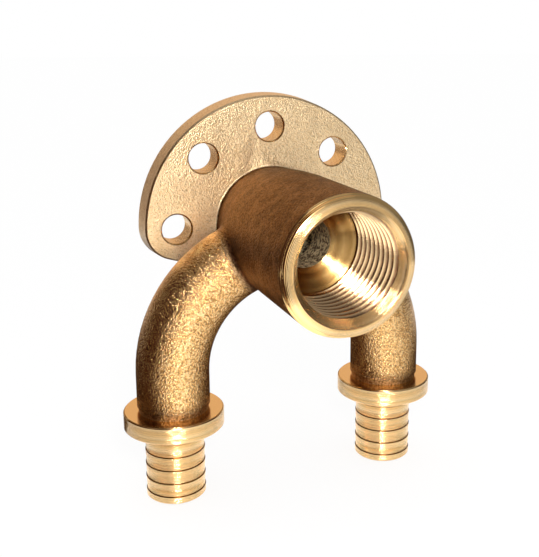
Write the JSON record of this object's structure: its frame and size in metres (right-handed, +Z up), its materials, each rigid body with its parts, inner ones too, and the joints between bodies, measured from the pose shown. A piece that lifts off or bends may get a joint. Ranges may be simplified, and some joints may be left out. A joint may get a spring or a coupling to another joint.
{
  "type": "wall plate elbow",
  "caption": "Cast brass U-shaped wall plate elbow: a half-round screw plate carries a threaded tap socket, and its pipe bends down to collared, ribbed spigots.",
  "frame": {"origin": "where the socket's axis meets the plate's wall face", "axes": "+Z up with the legs hanging down -Z, +Y into the wall, socket opening along -Y, +X to the right as seen from the room"},
  "size_m": [0.067, 0.0463, 0.0797],
  "materials": {
    "brass_casting": "sand-cast brass skin, with bright turned collars, spigots and socket mouth"
  },
  "bodies": {
    "root": {"elbow_body": "brass_casting"}
  },
  "joints": []
}
